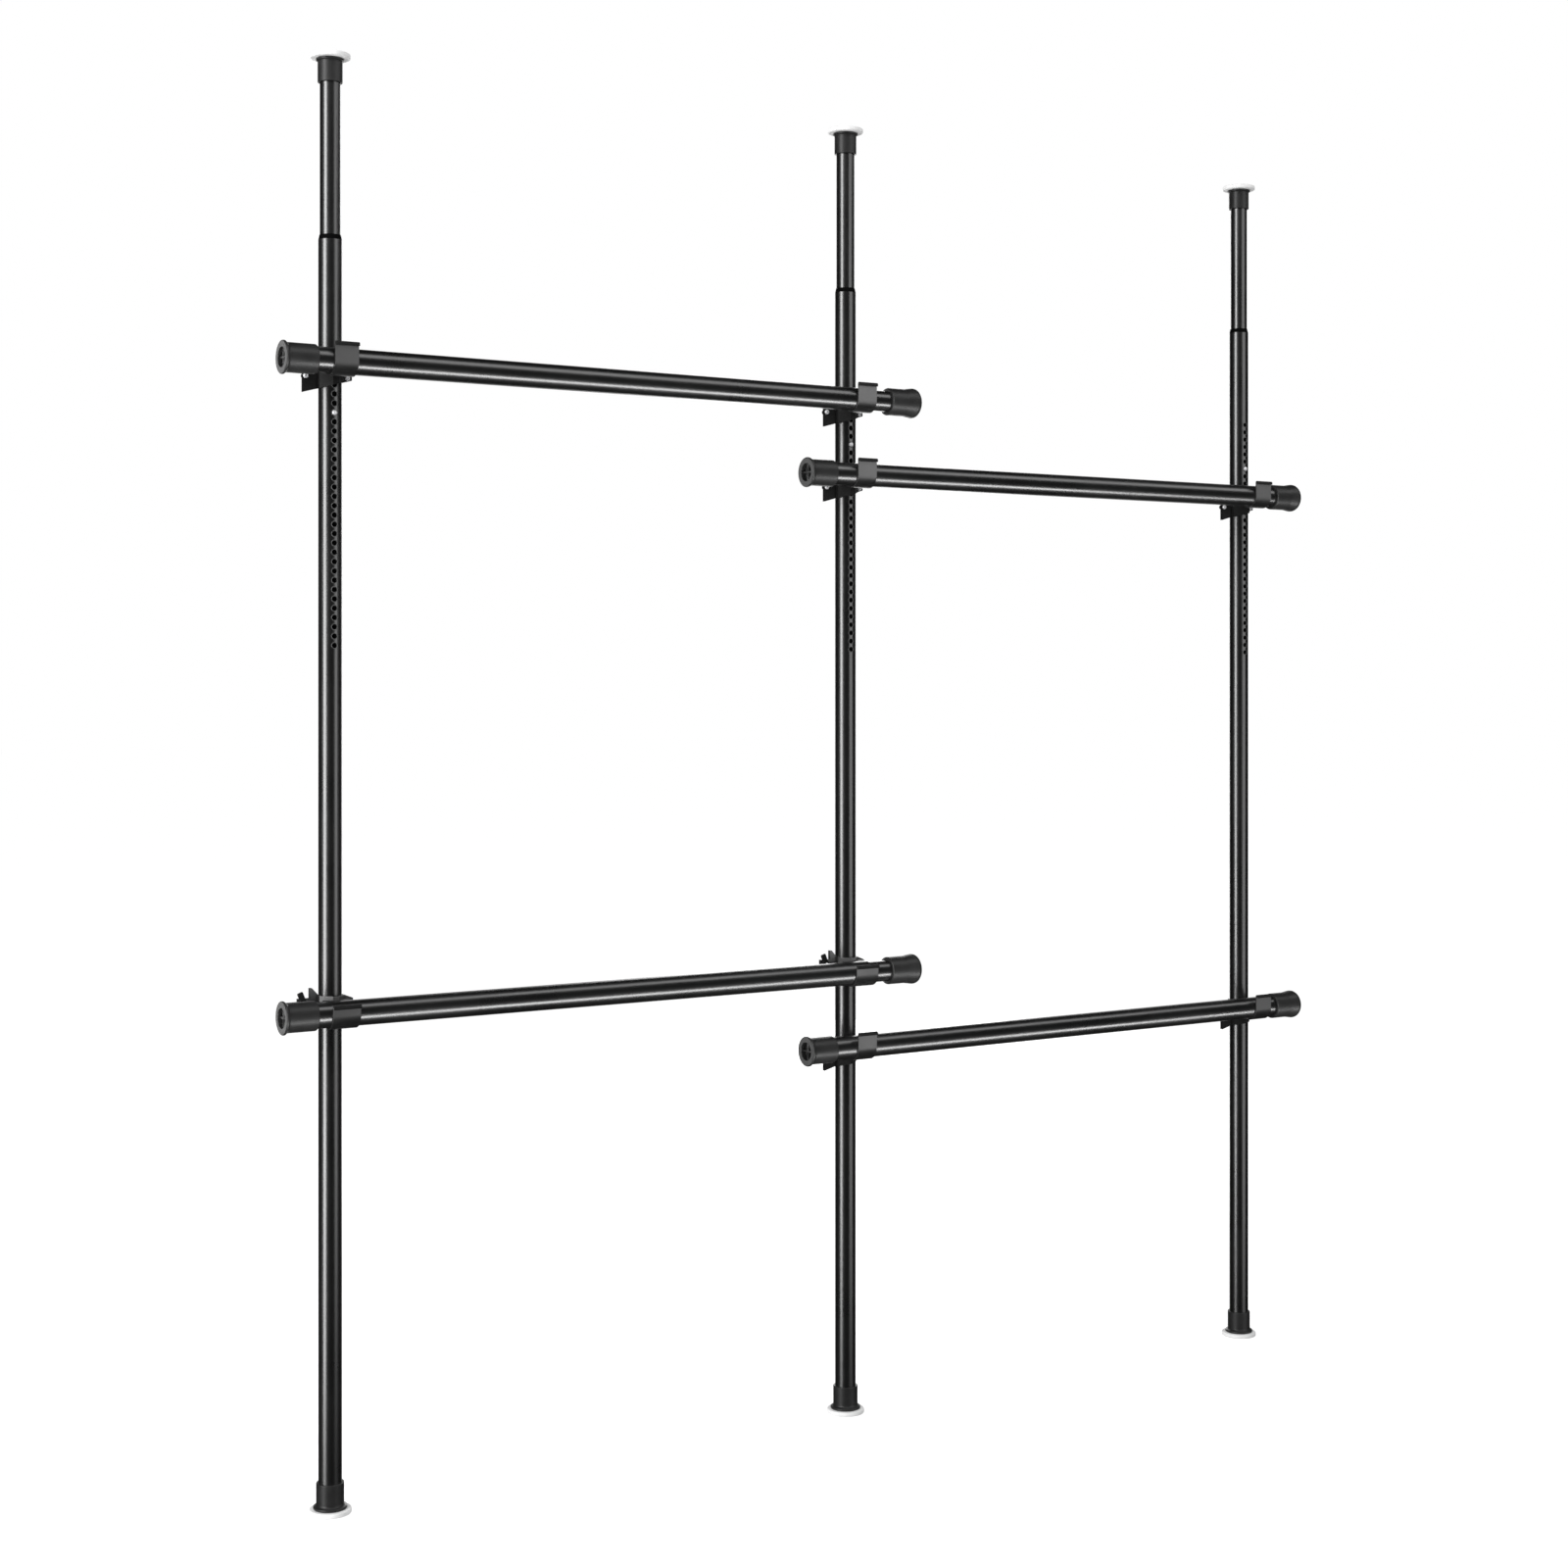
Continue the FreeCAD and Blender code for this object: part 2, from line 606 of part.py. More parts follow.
def rail_pieces():
    """The telescopic rails with their end caps."""
    left_cap, right_cap = rail_cap("rail", "rail_diameter"), rail_cap("inner", "inner_diameter")
    inner = pipe("inner_tube", "inner_diameter", "inner_bore", "0", "inner_length")
    outers = {
        bay: pipe(f"{bay}_outer_tube", "rail_diameter", "rail_bore", "0",
                  f"{bay}_bay + left_overhang - {bay}_bay_shift - rail_seat + outer_past_upright")
        for bay in ("left", "right")}
    for name, first, second, _ in RAILS:
        bay = name.split("_")[1]
        low = f"{UPRIGHT_X[first]} - left_overhang + {bay}_bay_shift"
        high = f"{UPRIGHT_X[second]} + right_overhang + {bay}_bay_shift"
        level = {"y": "-rail_offset", "z": f"{name}_height"}
        parts.append(placed(f"rail_outer_{name}", outers[bay], ALONG_X, f"{low} + rail_seat", **level))
        parts.append(placed(f"rail_cap_left_{name}", left_cap, ALONG_X, low, **level))
        parts.append(placed(f"rail_inner_{name}", inner, AGAINST_X, f"{high} - rail_seat", **level))
        parts.append(placed(f"rail_cap_right_{name}", right_cap, AGAINST_X, high, **level))


def brackets():
    """The hooks and clamps that carry the rails, with their bolts and nuts."""
    hooks = {over: hook_plate("over_hook" if over else "hook", over) for over in (False, True)}
    rears = {over: clamp_half("over_rear" if over else "rear", False, over) for over in (False, True)}
    bolt, thumb, hexagon = clamp_bolt(), thumb_nut(), hexagon_nut()
    for name, first, second, over in RAILS:
        fasteners = []
        for side in (first, second):
            x, z = UPRIGHT_X[side], f"{name}_height"
            parts.append(placed(f"hook_plate_{name}_{side}", hooks[over], x=x, z=z))
            parts.append(placed(f"rear_clamp_{name}_{side}", rears[over], x=x, z=z))
            if over:
                forward, head_y, nut_y = TO_FRONT, "ear_face", "-ear_face"
                lean = forward * about((0, 0, 1), 90 + WING_LEAN)
                bolts = (("left", thumb, lean, "-over_left_bolt", "over_bolt_rise"),
                         ("right", hexagon, forward, "over_right_bolt", "over_right_bolt_rise"))
            else:
                forward, head_y, nut_y = TO_REAR, "-ear_face", "ear_face"
                bolts = (("left", hexagon, forward, "-left_bolt", "-bolt_drop"),
                         ("right", hexagon, forward, "right_bolt", "-bolt_drop"))
            for ear, nut, turn, bolt_x, rise in bolts:
                tag = f"{name}_{side}_{ear}"
                place = {"x": f"{x} + {bolt_x}", "z": f"{z} + {rise}"}
                fasteners.append(placed(f"bolt_{tag}", bolt, forward, y=head_y, **place))
                fasteners.append(placed(f"nut_{tag}", nut, turn, y=nut_y, **place))
        parts.append(group(f"clamp_bolts_{name}", fasteners))


def write_parts():
    """Check every object, then write each piece to its own file."""
    doc.recompute()
    for item in doc.Objects:
        if "Invalid" in item.State or "Error" in item.State:
            raise RuntimeError(f"{item.Label} failed: {item.State}")
    shapes = {item.Label: Part.getShape(item) for item in parts}
    for label, shape in shapes.items():
        if shape.isNull() or not shape.isValid() or not shape.Solids:
            raise RuntimeError(f"{label} has no valid solid")
    os.makedirs("parts", exist_ok=True)
    for label, shape in shapes.items():
        shape.exportStep(f"parts/{label}.step")


uprights()
rail_pieces()
brackets()
write_parts()
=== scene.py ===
# %% [markdown]
# # Dressing an open frame wardrobe
# Three black telescopic uprights stand between floor and ceiling and carry four hanging rails in clamped
# hooks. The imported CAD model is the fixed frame: its tubes already have the right shape, so they stay and get
# better finishes. What a machine drawing leaves plain, such as rounded plastic rims, pressed sheet edges,
# screw threads and the rims of the punched holes, is made here and mostly takes the place of a plain solid.

import json
import math

import bmesh
import bpy
from mathutils import Matrix, Vector

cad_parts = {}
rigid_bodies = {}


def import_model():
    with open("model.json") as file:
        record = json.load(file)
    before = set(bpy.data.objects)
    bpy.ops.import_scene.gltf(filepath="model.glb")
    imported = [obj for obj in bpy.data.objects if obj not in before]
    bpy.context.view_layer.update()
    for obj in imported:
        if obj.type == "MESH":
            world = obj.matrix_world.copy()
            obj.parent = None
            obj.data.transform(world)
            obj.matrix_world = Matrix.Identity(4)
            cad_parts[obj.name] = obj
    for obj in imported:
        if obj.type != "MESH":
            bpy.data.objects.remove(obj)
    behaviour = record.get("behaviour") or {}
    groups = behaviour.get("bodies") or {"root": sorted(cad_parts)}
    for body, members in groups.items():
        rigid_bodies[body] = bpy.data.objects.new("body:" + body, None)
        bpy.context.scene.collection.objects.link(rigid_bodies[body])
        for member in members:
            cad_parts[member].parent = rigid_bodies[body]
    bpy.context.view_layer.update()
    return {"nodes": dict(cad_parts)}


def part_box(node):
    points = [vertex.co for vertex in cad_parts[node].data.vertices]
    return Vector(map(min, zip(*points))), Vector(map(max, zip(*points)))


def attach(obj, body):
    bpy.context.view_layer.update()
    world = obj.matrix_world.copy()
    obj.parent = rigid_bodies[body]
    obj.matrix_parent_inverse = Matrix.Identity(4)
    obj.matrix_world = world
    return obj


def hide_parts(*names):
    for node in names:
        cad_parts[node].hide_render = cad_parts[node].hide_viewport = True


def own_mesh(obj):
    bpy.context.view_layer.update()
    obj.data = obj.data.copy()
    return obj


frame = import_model()
scene = bpy.context.scene
MM = 0.001
SIDES = ("left", "mid", "right")
RAILS = ("upper_left", "lower_left", "upper_right", "lower_right")


def centre(node):
    """The middle of a CAD node's box."""
    low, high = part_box(node)
    return (low + high) / 2


def placed(name, data):
    """A scene object for a mesh, a lamp or a lens."""
    piece = bpy.data.objects.new(name, data)
    scene.collection.objects.link(piece)
    return piece


UPRIGHT_X = {side: centre(f"lower_tube_{side}").x for side in SIDES}
RAIL_AXIS = {rail: centre(f"rail_outer_{rail}") for rail in RAILS}
print("nodes:", len(frame["nodes"]), "uprights at x:", [round(x, 4) for x in UPRIGHT_X.values()])

# %% [markdown]
# ## Camera
# All uprights are plumb in the photograph. A camera that is tilted would make them lean, so this one looks
# level and the picture is framed by shifting the lens, as an architect's camera does. The distance follows
# from how fast the uprights grow shorter to the right.

# %% Camera
PHOTO_PIXELS = 1600
FOCAL_PIXELS = 2450
HORIZON_PIXEL = 691
SENSOR_MM = 36
CAMERA_PLACE = (-2.447, -3.674, 1.350)
CAMERA_YAW = -32.2

lens = bpy.data.cameras.new("camera")
lens.sensor_width = SENSOR_MM
lens.lens = SENSOR_MM * FOCAL_PIXELS / PHOTO_PIXELS
lens.shift_y = (HORIZON_PIXEL - PHOTO_PIXELS / 2) / PHOTO_PIXELS
camera = placed("camera", lens)
camera.location = CAMERA_PLACE
camera.rotation_euler = (math.radians(90), 0, math.radians(CAMERA_YAW))
scene.camera = camera
scene.view_settings.view_transform = "Standard"
print("lens:", round(lens.lens, 2), "mm")

# %% [markdown]
# ## Sums that build nodes
# A material is a graph of nodes, and most of them are sums. Here one small class wraps a socket so that
# Python's own signs add the Math nodes, and one method adds every other node: its settings first, then its
# inputs. The geometry trees further down are written with it too.


# %% Node graph helper
class Flow:
    """An output socket that can be used in sums."""

    def __init__(self, graph, socket):
        self.graph = graph
        self.socket = socket

    def __add__(self, other):
        return self.graph.sum("ADD", self, other)

    def __mul__(self, other):
        return self.graph.sum("MULTIPLY", self, other)

    def __sub__(self, other):
        return self.graph.sum("SUBTRACT", self, other)

    def __rsub__(self, other):
        return self.graph.sum("SUBTRACT", other, self)

    __radd__ = __add__
    __rmul__ = __mul__


class Graph:
    """A node tree that is written as expressions."""

    def __init__(self, tree):
        self.tree = tree
        tree.nodes.clear()

    def sum(self, operation, first, second):
        return self.node("ShaderNodeMath", {"operation": operation}, {0: first, 1: second})

    def node(self, kind, settings=None, inputs=None, output=0):
        """Add a node, and give the output that is asked for. An end node has none."""
        node = self.tree.nodes.new(kind)
        for name, value in (settings or {}).items():
            setattr(node, name, value)
        for name, value in (inputs or {}).items():
            if isinstance(value, Flow):
                self.tree.links.new(value.socket, node.inputs[name])
            else:
                node.inputs[name].default_value = value
        return Flow(self, node.outputs[output]) if len(node.outputs) else None


def grey(level, tint=0.0):
    """A colour of one brightness, a little bluer by the tint."""
    return (level, level, level * (1 + tint), 1)


# %% [markdown]
# ## Studio
# A product picture of black tube is a picture of its reflections. A tall softbox far to the left draws the
# bright line down every upright, a broad weak one to the right front gives the wide grey band, and one that
# lies low at the front lights the undersides of the rails. A long one overhead lights what faces up, and two
# more stand behind for the back of the frame. The backdrop is white to the camera and, behind the frame, in
# reflections too, while the room at the front reflects as nearly black. A wall could be the backdrop, but the
# world has no edges, and its nodes can tell what kind of ray asks.

# %% World
BACKDROP_AXIS = (0.533, 0.846, 0)
BACKDROP_EDGE = 0.78
BACKDROP_FADE = 0.2
FRONT_GLOSS = 0.01
SOFT_LEVEL = 0.5

studio = bpy.data.worlds.new("studio")
studio.use_nodes = True
scene.world = studio
graph = Graph(studio.node_tree)
facing = graph.node("ShaderNodeVectorMath", {"operation": "DOT_PRODUCT"}, {
    0: graph.node("ShaderNodeTexCoord", output="Generated"), 1: BACKDROP_AXIS}, output="Value")
backdrop = graph.node("ShaderNodeMapRange", {"interpolation_type": "SMOOTHSTEP"}, {
    "Value": facing, "From Min": BACKDROP_EDGE, "From Max": BACKDROP_EDGE + BACKDROP_FADE,
    "To Min": FRONT_GLOSS, "To Max": 1.0})
seen = graph.node("ShaderNodeLightPath", output="Is Camera Ray")
mirrored = (graph.node("ShaderNodeLightPath", output="Is Glossy Ray")
            + graph.node("ShaderNodeLightPath", output="Is Transmission Ray"))
level = seen + (1 - seen) * (mirrored * backdrop + (1 - mirrored) * SOFT_LEVEL)
sky = graph.node("ShaderNodeBackground", inputs={"Color": (1, 1, 1, 1), "Strength": level})
graph.node("ShaderNodeOutputWorld", inputs={"Surface": sky})
studio.cycles.sampling_method = "NONE"
print("world:", studio.name)

# %% [markdown]
# The floor is pale and keeps the object's shadows, with some glow of its own so that it meets the white
# backdrop. It casts no shadow itself, because the low lamp shines up through it, and reflections leave it
# out.

# %% Floor
FLOOR_SIZE = 80.0
FLOOR_GLOW = 0.6
FLOOR_GREY = 0.8

bpy.ops.mesh.primitive_plane_add(size=FLOOR_SIZE, location=(0, 0, 0))
floor = bpy.context.object
floor.name = "floor"
floor_paint = bpy.data.materials.new("floor_paint")
floor_paint.use_nodes = True
graph = Graph(floor_paint.node_tree)
seen = (graph.node("ShaderNodeLightPath", output="Is Camera Ray")
        + graph.node("ShaderNodeLightPath", output="Is Glossy Ray")
        + graph.node("ShaderNodeLightPath", output="Is Transmission Ray"))
matte = graph.node("ShaderNodeBsdfDiffuse", inputs={"Color": grey(FLOOR_GREY)})
glow = graph.node("ShaderNodeEmission", inputs={"Color": (1, 1, 1, 1), "Strength": FLOOR_GLOW * seen})
surface = graph.node("ShaderNodeAddShader", inputs={0: matte, 1: glow})
graph.node("ShaderNodeOutputMaterial", inputs={"Surface": surface})
floor.data.materials.append(floor_paint)
floor.visible_glossy = False
floor.visible_shadow = False
print("floor:", FLOOR_SIZE, "m")

# %% [markdown]
# The softboxes are area lamps. Blender gives a lamp's power in watts, but what a glossy tube mirrors is the
# brightness of the lamp's face. So each lamp is written down by its radiance, and its size can change without
# changing how bright its reflection is.


# %% Lamps
def softbox(name, place, target, width, height, radiance):
    """An area lamp that faces its target, as bright per area as the radiance says."""
    lamp = bpy.data.lights.new(name, "AREA")
    lamp.shape = "RECTANGLE"
    lamp.size = width
    lamp.size_y = height
    lamp.energy = radiance * math.pi * width * height
    box = placed(name, lamp)
    box.location = place
    box.rotation_euler = (Vector(target) - Vector(place)).to_track_quat("-Z", "Y").to_euler()
    box.visible_camera = False
    return box


# each lamp: its place, what it faces, its width and height, all in metres, and its radiance
LAMP_PLAN = {
    "left_strip": ((-4.4, -0.92, 1.85), (0, -0.92, 1.85), 1.7, 5.5, 6.2),
    "right_front": ((2.59, -4.29, 1.5), (0, 0, 1.5), 3.3, 5.0, 1.25),
    "overhead": ((0, -1.2, 3.4), (0, -1.2, 0), 8.4, 1.2, 1.5),
    "rear_right": ((2.8, 4.2, 1.8), (0, 0, 1.8), 1.4, 5.0, 3.0),
    "rear_left": ((-2.8, 4.2, 1.8), (0, 0, 1.8), 1.4, 5.0, 3.0),
    "low_front": ((0, -2.85, -1.2), (0, -2.85, 0), 9.0, 1.5, 7.5),
}
LAMPS = {name: softbox(name, *plan) for name, plan in LAMP_PLAN.items()}
print("lamps:", list(LAMPS))

# %% [markdown]
# ## Finishes
# The tubes are steel with a satin black stove enamel, which has a faint orange-peel skin. The clamp plates
# carry a duller coat, the caps are matte moulded plastic, the collars dull nylon, the bolts zinc-plated and
# the pads white foam rubber. Image textures could show all that, but noise needs no files and has no seams.
# Every pattern reads Object coordinates in metres, so its scale is the real one and it stays on the piece.

# %% One kind of surface
CLOUD_RANGE = (0.3, 0.7)
SKIN_SHARE = 0.3
SKIN_STRENGTH = 0.5
# the grey of the painted shade inside the lower tube
INSIDE_SHADE_GREY = 0.002
SHADE_FADE = 0.02


def finish(name, colours, roughness, cloud, grain, metal=0.0, gloss=0.5, ior=1.5, shade_below=None):
    """A surface with cloudy colour and roughness, and a fine grain in its skin.

    colours and roughness are (low, high) pairs, cloud is the clouds' scale, and grain is (scale, depth).
    Below a given last height the surface fades to painted shade: black matte for the dark inside another tube."""
    material = bpy.data.materials.new(name)
    material.use_nodes = True
    graph = Graph(material.node_tree)
    place = graph.node("ShaderNodeTexCoord", output="Object")
    clouds = graph.node("ShaderNodeTexNoise", inputs={"Vector": place, "Scale": cloud, "Detail": 4.0})
    skin = graph.node("ShaderNodeTexNoise", inputs={"Vector": place, "Scale": grain[0], "Detail": 2.0})
    even = graph.node("ShaderNodeMapRange", inputs={
        "Value": clouds, "From Min": CLOUD_RANGE[0], "From Max": CLOUD_RANGE[1]})
    colour = graph.node("ShaderNodeMix", {"data_type": "RGBA"}, {
        "Factor": even, 6: colours[0], 7: colours[1]}, output=2)
    mixed = even * (1 - SKIN_SHARE) + skin * SKIN_SHARE
    shine = roughness[0] + (roughness[1] - roughness[0]) * mixed
    bump = graph.node("ShaderNodeBump", inputs={
        "Strength": SKIN_STRENGTH, "Distance": grain[1], "Height": skin})
    body = graph.node("ShaderNodeBsdfPrincipled", inputs={
        "Base Color": colour, "Roughness": shine, "Metallic": metal, "IOR": ior, "Specular IOR Level": gloss,
        "Normal": bump})
    # painted shade: below the height the surface fades into black matte, for the dark inside another tube
    if shade_below:
        height = graph.node("ShaderNodeSeparateXYZ", inputs={"Vector": place}, output="Z")
        above_shade = graph.node("ShaderNodeMapRange", inputs={
            "Value": height, "From Min": shade_below, "From Max": shade_below + SHADE_FADE})
        painted_shade = graph.node("ShaderNodeBsdfDiffuse", inputs={"Color": grey(INSIDE_SHADE_GREY)})
        body = graph.node("ShaderNodeMixShader", inputs={0: above_shade, 1: painted_shade, 2: body})
    graph.node("ShaderNodeOutputMaterial", inputs={"Surface": body})
    return material


# %% [markdown]
# The upper tube slides in the lower one, whose holes show it. Inside, light comes in only through the holes,
# so the part that stays inside is given painted shade, a black matte, and the holes look black. Two materials
# on the tube would meet in a hard line, so one material fades by height.

# %% The finishes, and which node has which
# where the upper tube enters the lower one; below it the upper tube's enamel turns to painted shade
HIDDEN_TOP = 1.93
ENAMEL = {"colours": (grey(0.003), grey(0.005)), "roughness": (0.25, 0.33), "cloud": 7.0,
          "grain": (900, 0.0000015), "gloss": 1.0, "ior": 1.7}
FINISH = {
    "enamel": finish("satin_black_enamel", **ENAMEL),
    # the upper tube's enamel, with painted shade where it stays inside the lower tube
    "enamel_shaded_inside": finish("rubbed_black_enamel", **ENAMEL, shade_below=HIDDEN_TOP),
    # the rims' colour: thin paint over the punched edge, and partly a painted highlight
    "rim_enamel_with_highlight": finish("thin_enamel_on_steel", (grey(0.07), grey(0.13)), (0.30, 0.42), 400.0,
                          (1400, 0.00001)),
    "strap": finish("satin_black_strap", (grey(0.009), grey(0.013)), (0.36, 0.46), 24.0,
                    (1400, 0.000006), gloss=1.0, ior=1.85),
    # the clamp plates' dull coat, also put on the hems as painted shade under their fold
    "plate": finish("dull_black_coat", (grey(0.005), grey(0.009)), (0.52, 0.64), 24.0,
                    (1400, 0.00001), gloss=0.3),
    "plastic": finish("moulded_black_plastic", (grey(0.013), grey(0.018)), (0.38, 0.47), 30.0,
                      (2200, 0.000003)),
    "collar": finish("dull_black_nylon", (grey(0.001), grey(0.002)), (0.6, 0.75), 40.0,
                     (1800, 0.00001), gloss=0.05),
    "zinc": finish("zinc_plated_steel", (grey(0.84, 0.02), grey(0.92, 0.02)), (0.32, 0.42), 160.0,
                   (1600, 0.000005), metal=0.5),
    "blackened": finish("blackened_steel", (grey(0.012), grey(0.020)), (0.35, 0.45), 60.0,
                        (1600, 0.000005), metal=0.5),
    "foam": finish("white_foam_rubber", (grey(0.80), grey(0.87)), (0.75, 0.9), 60.0,
                   (1500, 0.00005), gloss=0.3),
    "spring": finish("blued_spring_steel", (grey(0.20, 0.15), grey(0.28, 0.12)), (0.25, 0.35), 90.0,
                     (1200, 0.000005), metal=1.0),
}
NODE_FINISH = {
    "lower_tube": "enamel", "upper_tube": "enamel_shaded_inside", "rail_outer": "enamel", "rail_inner": "enamel",
    "tube_collars": "collar", "foot_cap": "plastic", "head_cap": "plastic", "rail_cap": "plastic",
    "floor_pads": "foam", "ceiling_pad": "foam", "snap_button": "zinc", "snap_spring": "spring",
    "hook_plate": "plate", "rear_clamp": "plate", "clamp_bolts": "zinc",
}
for name, node in frame["nodes"].items():
    kind = next(kind for kind in NODE_FINISH if name.startswith(kind))
    for slot in node.material_slots:
        slot.material = FINISH[NODE_FINISH[kind]]
print("finishes:", sorted(FINISH))

# %% [markdown]
# ## Turned pieces
# Plastic caps are moulded, so no edge of them is sharp. A Screw modifier could turn them, but a bevel after
# it would give every edge the same rounding. This lathe carries a half outline round an axis, and each corner
# has its own. Weighted normals then keep the flats flat while the roundings stay smooth.

# %% Lathe helpers
ROUND_STEPS = 5
TURN_STEPS = 96


def rounded(corners):
    """The points of a closed outline of (radius, height, rounding) corners, in millimetres."""
    points = []
    for index, (x, y, rounding) in enumerate(corners):
        corner = Vector((x, y))
        if not rounding:
            points.append(corner)
            continue
        back = (Vector(corners[index - 1][:2]) - corner).normalized()
        ahead = (Vector(corners[(index + 1) % len(corners)][:2]) - corner).normalized()
        half = back.angle(ahead) / 2
        middle = corner + (back + ahead).normalized() * rounding / math.sin(half)
        start = corner + back * rounding / math.tan(half) - middle
        stop = corner + ahead * rounding / math.tan(half) - middle
        for step in range(ROUND_STEPS + 1):
            points.append(middle + start.slerp(stop, step / ROUND_STEPS) * rounding)
    return points


def bridge(shell, lower, upper):
    """Faces between two rings of points, either of which may be a single point."""
    count = max(len(lower), len(upper))
    for index in range(count if len(lower) + len(upper) > 2 else 0):
        after = (index + 1) % count
        corners = [lower[index % len(lower)], lower[after % len(lower)],
                   upper[after % len(upper)], upper[index % len(upper)]]
        shell.faces.new(list(dict.fromkeys(corners)))


def stacked(shell, rings):
    """A skin over a stack of rings, closed if it ends in points or if the first ring comes last too."""
    for lower, upper in zip(rings, rings[1:]):
        bridge(shell, lower, upper)


def lathe(shell, corners):
    """A solid of revolution about Z."""
    angles = [2 * math.pi * step / TURN_STEPS for step in range(TURN_STEPS)]
    rings = []
    for radius, height in rounded(corners):
        turn = angles if radius else [0]
        rings.append([shell.verts.new((radius * math.cos(a), radius * math.sin(a), height)) for a in turn])
    stacked(shell, rings + rings[:1])


# %% From mesh to piece
BEVEL_STEPS = 2
SHARP_ANGLE = math.radians(35)


def shaped(name, shell, place):
    """A scene object from a mesh in millimetres, put in its place, with outward faces."""
    bmesh.ops.recalc_face_normals(shell, faces=shell.faces)
    mesh = bpy.data.meshes.new(name)
    shell.to_mesh(mesh)
    shell.free()
    mesh.transform(place @ Matrix.Scale(MM, 4))
    mesh.shade_smooth()
    return placed(name, mesh)


def plain(piece):
    """Make what the modifiers give the piece's own plain mesh."""
    result = bpy.data.meshes.new_from_object(piece.evaluated_get(bpy.context.evaluated_depsgraph_get()))
    piece.modifiers.clear()
    piece.data = result
    return piece


def hardened(piece, bevel=0.0):
    """Bevel the sharp edges by so many millimetres and weigh the normals."""
    if bevel:
        edge = piece.modifiers.new("edges", "BEVEL")
        edge.width = bevel * MM
        edge.segments = BEVEL_STEPS
        edge.limit_method = "ANGLE"
        edge.angle_limit = SHARP_ANGLE
    piece.modifiers.new("normals", "WEIGHTED_NORMAL").keep_sharp = True
    return plain(piece)


def settle(piece, finish_name, body, slot, *nodes):
    """Give a piece its finish, its body and the CAD nodes that it stands for. The slot is not used."""
    piece.data.materials.clear()
    piece.data.materials.append(FINISH[finish_name])
    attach(piece, body)
    if nodes:
        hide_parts(*nodes)


# %% [markdown]
# The caps of the uprights are sleeves with a flange at the end that presses on the pad. The foot caps are
# larger than the head caps, because they go round the thicker tube. Otherwise they are alike, so one outline
# serves both, and for the head it is turned over.

# %% Foot caps and head caps
CAP_FLOOR = 4
CAP_EDGE = 1.1
CAP_MOUTH = 0.3
FOOT_CAP = {"tube": 38, "sleeve": 45, "flange": 54.5, "thickness": 4, "height": 42, "waist": 4}
HEAD_CAP = {"tube": 33, "sleeve": 40, "flange": 45, "thickness": 3.5, "height": 39, "waist": 2}


def tube_cap(tube, sleeve, flange, thickness, height, waist):
    """The outline of an upright's cap, with its flange down. waist rounds the corner above the flange."""
    skirt = thickness + (flange - sleeve) / 4
    return [
        (0, 0, 0), (flange / 2, 0, CAP_EDGE), (flange / 2, thickness, CAP_EDGE),
        (sleeve / 2, skirt, waist), (sleeve / 2, height, CAP_EDGE),
        (tube / 2, height, CAP_MOUTH), (tube / 2, CAP_FLOOR, 0), (0, CAP_FLOOR, 0)]


for side in SIDES:
    for end, body, outline in (("foot", "frame", tube_cap(**FOOT_CAP)),
                               ("head", f"upper_{side}", tube_cap(**HEAD_CAP))):
        low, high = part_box(f"{end}_cap_{side}")
        shell = bmesh.new()
        lathe(shell, outline)
        turn = Matrix.Identity(4) if end == "foot" else Matrix.Rotation(math.pi, 4, "X")
        level = low.z if end == "foot" else high.z
        place = Matrix.Translation((UPRIGHT_X[side], 0, level)) @ turn
        cap = shaped(f"{end}_sleeve_{side}", shell, place)
        settle(hardened(cap), "plastic", body, "black_plastic", f"{end}_cap_{side}")
print("tube caps:", 2 * len(SIDES))

# %% [markdown]
# A rail has a short cap on its outer tube and a long one on the inner tube that slides out. Both have a round
# recess in the face, stiffened by a cross of ribs, which keeps a thick moulding from sinking in as it cools.
# The cross could be joined on with a Boolean, but a closed body that is sunk into the recess looks the same
# and can't fail.

# %% Rail caps
RECESS_RADIUS = 16
RECESS_DEPTH = 10
RECESS_EDGE = 0.8
RAIL_SEAT = 16
RIB_HALF = 1.5
RIB_TOP = 3
RIB_ARM = 16.3
RIB_ROOT = 0.5
SHORT_CAP = {"tube": 42, "sleeve": 48, "flange": 54, "length": 56, "thickness": 3.5, "flare": 3,
             "face_round": 2, "waist_round": 3, "mouth_round": 2}
LONG_CAP = {"tube": 38, "sleeve": 50, "flange": 55, "length": 65, "thickness": 11, "flare": 17,
            "face_round": 9, "waist_round": 24, "mouth_round": 3}


def rail_cap(tube, sleeve, flange, length, thickness, flare, face_round, waist_round, mouth_round):
    """The outline of a rail's cap, from its face. The flange narrows to the sleeve over the flare."""
    return [
        (0, RECESS_DEPTH, 0), (RECESS_RADIUS, RECESS_DEPTH, RECESS_EDGE), (RECESS_RADIUS, 0, RECESS_EDGE),
        (flange / 2, 0, face_round), (flange / 2, thickness, waist_round / 2),
        (sleeve / 2, thickness + flare, waist_round), (sleeve / 2, length, mouth_round),
        (tube / 2, length, CAP_MOUTH), (tube / 2, RAIL_SEAT, 0), (0, RAIL_SEAT, 0)]


def add_ribs(shell):
    """The cross in the recess, from below its mouth into its floor."""
    arm = [(RIB_HALF, RIB_HALF), (RIB_HALF, RIB_ARM), (-RIB_HALF, RIB_ARM)]
    quarter = Matrix.Rotation(math.pi / 2, 2)
    turn = Matrix.Identity(2)
    corners = []
    for _ in range(4):
        corners += [turn @ Vector(point) for point in arm]
        turn = quarter @ turn
    rings = [[shell.verts.new((x, y, z)) for x, y in corners] for z in (RIB_TOP, RECESS_DEPTH + RIB_ROOT)]
    bridge(shell, *rings)
    for ring in rings:
        shell.faces.new(ring)


